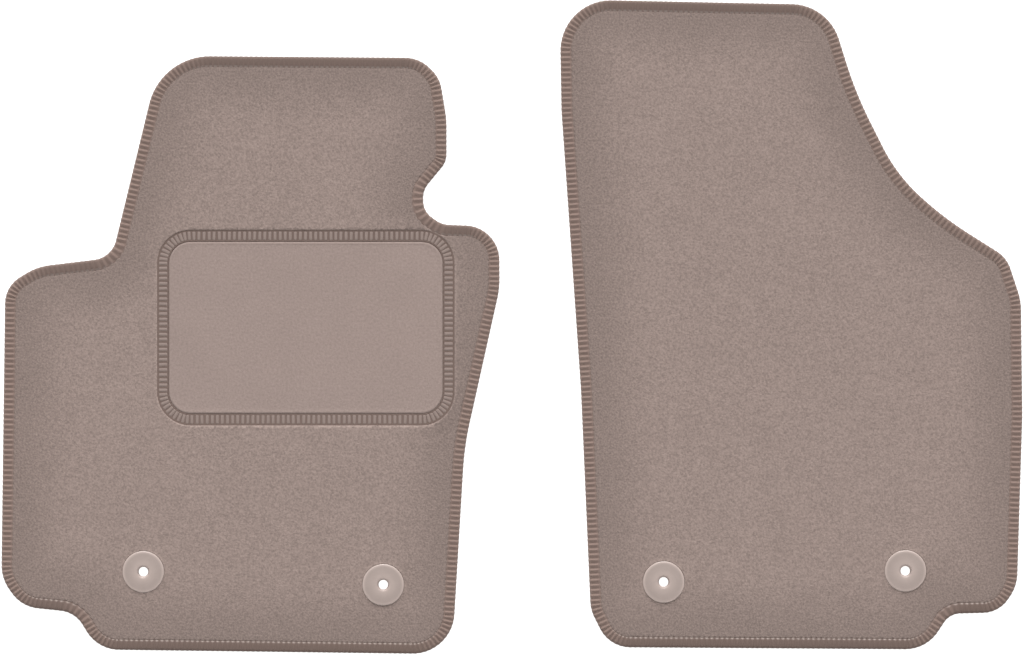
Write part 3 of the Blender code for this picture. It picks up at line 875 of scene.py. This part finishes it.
def heel_pad(pocket_line):
    """The smooth pad, its sewn tape, the ladder of yarn cells on the tape and the thread beside them."""
    border = 0.0160                 # in from the pocket's wall, where the pad's puffed rim starts
    wall = 0.0032                   # from there out to the rim's foot, beside the tape
    reach = border - 0.0031         # and to the end of the thin selvedge under the tape
    rim_line = moved_in(pocket_line, border)
    rim_profile = [
        (0.0004, 0.00757), (0.0008, 0.00764), (0.0013, 0.00768), (0.0018, 0.00760), (0.0024, 0.00744),
        (0.0030, 0.00725), (wall, 0.0063), (reach, 0.0063), (reach, 0.0058),
    ]
    relief = tufted(PAD_SEED, PAD_TUFT, PAD_WAVE, PAD_SPACING)
    body = spread_layer([(rim_line, rim_profile)], PILE_TOP, 1, PAD_SPACING, relief)
    pad = finish_piece("heel_pad_velour", body, MATERIALS["pad"], "driver_mat", ["heel_pad"])

    tape = carried(bmesh.new(), pocket_line, [
        (0.0127, 0.0068), (0.0126, 0.0070), (0.0120, 0.00708), (0.0112, 0.00715), (0.0024, 0.00715),
        (0.0014, 0.00725), (0.0007, 0.00735), (0.0001, 0.00733), (-0.0002, 0.0071), (0.0, 0.0066),
        (0.0022, 0.0062), (0.0022, 0.0049), (0.0108, 0.0049), (0.0108, 0.0055), (0.0029, 0.0055),
        (0.0029, 0.0065), (0.0127, 0.0065),
    ])
    finish_piece(
        "heel_pad_sewn_tape", tape, MATERIALS["tape"], "driver_mat", ["heel_pad_binding"])

    cell = strand_mesh("cell", [
        (0.0109, 0.0070, 0.75), (0.0106, 0.00713, 0.95), (0.0097, 0.00715, 1.0), (0.0064, 0.00716, 1.0),
        (0.0031, 0.00715, 1.0), (0.0022, 0.00713, 0.95), (0.0019, 0.0070, 0.75),
    ], width=0.0033, height=0.0004, square=0.2)
    count = len(pocket_line[0]) // STATIONS
    cells = laid_along(bmesh.new(), cell, pocket_line, count, random=np.random.default_rng(CELL_SEED))
    finish_piece(
        "heel_pad_border_cells", cells, MATERIALS["cell"], "driver_mat", ["heel_pad_binding"])

    stitch = strand_mesh("pad_stitch", [
        (-0.0024, 0.00675, 0.35), (-0.0016, 0.00705, 0.9), (0.0, 0.0071, 1.0), (0.0016, 0.00705, 0.9),
        (0.0024, 0.00675, 0.35),
    ], width=0.0010, height=0.0004)
    stitch.transform(Matrix.Rotation(math.radians(90), 4, "Z"))
    stitches = laid_along(bmesh.new(), stitch, moved_in(pocket_line, THREAD_INSET), count, start=0.5)
    finish_piece(
        "heel_pad_needle_thread", stitches, MATERIALS["pad_thread"], "driver_mat",
        ["heel_pad_thread"])


# ---------------------------------------------------------------- clips

def turned_piece(name, profile, centre, material, body_name, replaced):
    """A closed profile of (radius, height) spun once round the clip's axis."""
    body = bmesh.new()
    lightened_of = body.verts.layers.float.new("bore_tint_and_painted_rim_light")
    verts = [body.verts.new((radius, 0.0, height)) for radius, height in profile]
    edges = [body.edges.new((verts[index - 1], verts[index])) for index in range(len(verts))]
    bmesh.ops.spin(
        body, geom=verts + edges, cent=(0.0, 0.0, 0.0), axis=(0.0, 0.0, 1.0), angle=2 * math.pi,
        steps=TURNED_STEPS, use_merge=True)
    bmesh.ops.remove_doubles(body, verts=body.verts, dist=1e-6)
    bmesh.ops.recalc_face_normals(body, faces=body.faces)
    # lighter colour round the bore, and painted light on the rim against its shade
    for vert in body.verts:
        radius = vert.co.xy.length
        at_bore = 1.0 - smooth_share(radius, *BORE_TINT_REACH)
        vert[lightened_of] = at_bore + RIM_PAINTED_LIGHT_SHARE * smooth_share(radius, *RIM_PAINTED_LIGHT)
    bmesh.ops.translate(body, verts=body.verts, vec=(*centre, 0.0))
    piece = finish_piece(name, body, material, body_name, replaced)
    piece.data.set_sharp_from_angle(angle=SHARP_EDGE)


def clip(where):
    """One clip: a low domed cap with a rolled rim and a countersunk bore, and the ring under the mat."""
    centre = middle_of(where + "_clip_cap")
    cap = [
        (0.0066, 0.00880), (0.0080, 0.00894), (0.0110, 0.00890), (0.0140, 0.00880), (0.0172, 0.00865),
        (0.0190, 0.00856),
    ]
    rim_middle, rim_level = 0.0201, 0.00755
    rim_reach, rim_rise = 0.0024, 0.00098
    for number in range(9):
        turn = math.radians(78 - 14 * number)
        cap.append((rim_middle + rim_reach * math.cos(turn), rim_level + rim_rise * math.sin(turn)))
    cap += [
        (0.0214, 0.00520), (0.0210, 0.00490), (0.0085, 0.00490), (0.0085, 0.00090), (0.0096, 0.00088),
        (0.0096, 0.00070), (0.0088, 0.00022), (0.0060, 0.00020), (0.0058, 0.00040), (0.0058, 0.00260),
        (0.0054, 0.00300), (0.0051, 0.00350), (0.0054, 0.00400), (0.0058, 0.00440), (0.0058, 0.00770),
        (0.0060, 0.00830), (0.0064, 0.00865),
    ]
    turned_piece(
        where + "_clip_head", cap, centre, MATERIALS["cap"], where + "_clip",
        [where + "_clip_cap"])
    ring = [
        (0.00890, 0.0020), (0.0172, 0.0020), (0.0175, 0.0018), (0.0175, 0.0006), (0.0173, 0.0002),
        (0.0169, 0.0), (0.0103, 0.0), (0.0100, 0.0003), (0.0100, 0.0012), (0.00890, 0.0012),
    ]
    turned_piece(
        where + "_clip_lock_ring", ring, centre, MATERIALS["ring"], where + "_clip",
        [where + "_clip_ring"])


# ---------------------------------------------------------------- stage

def stage():
    """White floor, soft light from the pedal end with a weak fill, and a long lens straight above."""
    bpy.ops.mesh.primitive_plane_add(size=8.0, location=(0.0, 0.0, -0.0004))
    floor = bpy.context.object
    floor.name = "pale_floor"
    material, _, _ = shader_material(
        "pale_floor", Roughness=0.9, Specular_IOR_Level=0.1, Base_Color=(0.5, 0.5, 0.5, 1.0),
        Emission_Color=(1.0, 1.0, 1.0, 1.0), Emission_Strength=0.93)
    floor.data.materials.append(material)

    suns = (
        # name, strength, softness and tilt in degrees
        ("pedal_end_light", 4.0, 36.0, -60.0),
        ("seat_end_fill", 0.62, 60.0, 55.0),
    )
    for name, energy, soft, tilt in suns:
        sun = bpy.data.lights.new(name, "SUN")
        sun.energy = energy
        sun.angle = math.radians(soft)
        lamp = bpy.data.objects.new(name, sun)
        lamp.rotation_euler = (math.radians(tilt), 0.0, 0.0)
        bpy.context.scene.collection.objects.link(lamp)

    world = bpy.data.worlds.new("studio")
    world.use_nodes = True
    world.node_tree.nodes["Background"].inputs["Color"].default_value = (1.0, 1.0, 1.0, 1.0)
    world.node_tree.nodes["Background"].inputs["Strength"].default_value = 0.35
    bpy.context.scene.world = world
    bpy.context.scene.view_settings.view_transform = "Standard"

    camera = bpy.data.cameras.new("camera")
    camera.lens = 200.0
    camera.sensor_width = 36.0
    camera.clip_end = 30.0
    view_width = 1.1059
    view_level = 0.0035             # the height at which the view is that wide
    distance = view_width * camera.lens / camera.sensor_width
    eye = bpy.data.objects.new("camera", camera)
    eye.location = (-0.0004, -0.0004, distance + view_level)
    bpy.context.scene.collection.objects.link(eye)
    bpy.context.scene.camera = eye


# ---------------------------------------------------------------- build

def outline_of(side, corners):
    """The mat's outline in the shared frame, placed by the middle of its binding's box."""
    points, _ = rounded_line(corners, ROUGH_SPACING)
    middle = (points.min(axis=0) + points.max(axis=0)) / 2
    place = np.array(middle_of(side + "_edge_binding")) - middle
    return rounded_line(corners, STITCH_PITCH / STATIONS, place, STATIONS)


def build():
    stage()
    driver_line = outline_of("driver", DRIVER_OUTLINE)
    passenger_line = outline_of("passenger", PASSENGER_OUTLINE)
    low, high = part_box("heel_pad_binding")
    left, right = low[0] - HEEL_GROOVE, high[0] + HEEL_GROOVE
    near, far = low[1] - HEEL_GROOVE, high[1] + HEEL_GROOVE
    pocket = [(x, y, HEEL_POCKET_RADIUS) for x, y in ((left, far), (right, far), (right, near), (left, near))]
    pocket_line = rounded_line(pocket, STITCH_PITCH / STATIONS, multiple=STATIONS)
    for side, line in (("driver", driver_line), ("passenger", passenger_line)):
        places = [middle_of(f"{side}_{where}_clip_cap") for where in ("left", "right")]
        mat_layers(side, line, places, pocket_line if side == "driver" else None)
        edge_finish(side, line)
        for where in ("left", "right"):
            clip(f"{side}_{where}")
    heel_pad(pocket_line)


build()
